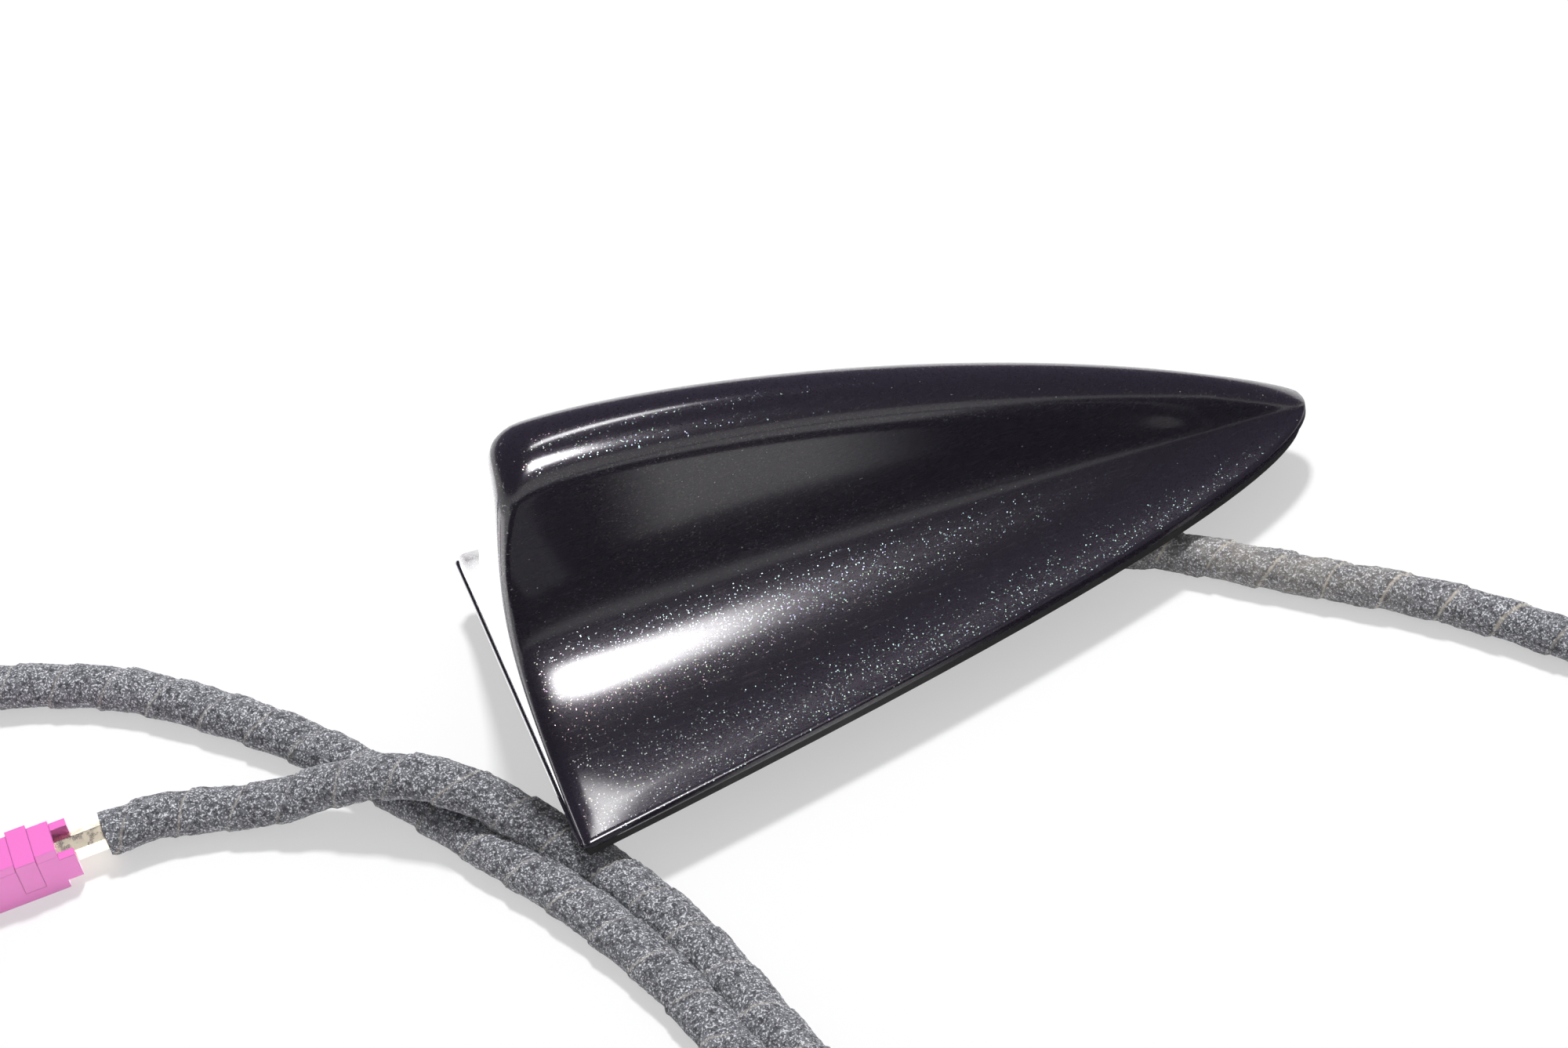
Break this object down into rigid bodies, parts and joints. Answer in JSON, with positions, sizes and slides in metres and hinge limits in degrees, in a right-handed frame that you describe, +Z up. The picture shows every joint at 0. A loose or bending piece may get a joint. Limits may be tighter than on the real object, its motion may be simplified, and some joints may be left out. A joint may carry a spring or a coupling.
{
  "type": "car roof antenna",
  "caption": "Fin-shaped car roof antenna: gloss cover, rubber roof seal, cast base with a fixing stud, and a taped cable harness that ends in coaxial plugs.",
  "frame": {"origin": "on the fixing stud's axis, at the level of the roof surface under the seal", "axes": "+X towards the fin's nose, +Y to its left, +Z up, away from the roof"},
  "size_m": [0.3461, 0.2717, 0.0762],
  "materials": {
    "cover_paint": "gloss black metallic lacquer with fine flake",
    "seal_rubber": "matt black rubber",
    "plate_metal": "as-cast, satin",
    "stud_steel": "zinc plated",
    "screw_steel": "zinc plated",
    "board_laminate": "green solder mask",
    "tile_ceramic": "bare fired ceramic",
    "patch_silver": "fired silver",
    "shield_tin": "bright tin plate",
    "lead_jacket": "black cable jacket",
    "harness_tape": "charcoal felt tape in a spiral wrap, dusty at the seams",
    "telephone_plug_plastic": "magenta moulded plastic",
    "navigation_plug_plastic": "blue moulded plastic",
    "ferrule_metal": "plated crimp ferrule",
    "socket_brass": "plated brass",
    "core_plastic": "white cable insulation"
  },
  "bodies": {
    "root": {"fin_cover": "cover_paint", "roof_seal": "seal_rubber", "base_plate": "plate_metal", "fixing_stud": "stud_steel", "cover_screws": "screw_steel", "board_screws": "screw_steel", "circuit_board": "board_laminate", "patch_tile": "tile_ceramic", "patch_metal": "patch_silver", "amplifier_shield": "shield_tin", "telephone_aerial": "board_laminate", "telephone_lead": "lead_jacket", "navigation_lead": "lead_jacket", "cable_boot": "seal_rubber", "harness_trunk": "harness_tape", "telephone_branch": "harness_tape", "navigation_branch": "harness_tape", "harness_split": "harness_tape", "telephone_plug_housing": "telephone_plug_plastic", "telephone_plug_lock": "telephone_plug_plastic", "telephone_plug_ferrule": "ferrule_metal", "telephone_plug_socket": "socket_brass", "telephone_plug_core": "core_plastic", "telephone_plug_pin": "socket_brass", "navigation_plug_housing": "navigation_plug_plastic", "navigation_plug_lock": "navigation_plug_plastic", "navigation_plug_ferrule": "ferrule_metal", "navigation_plug_socket": "socket_brass", "navigation_plug_core": "core_plastic", "navigation_plug_pin": "socket_brass"}
  },
  "joints": []
}
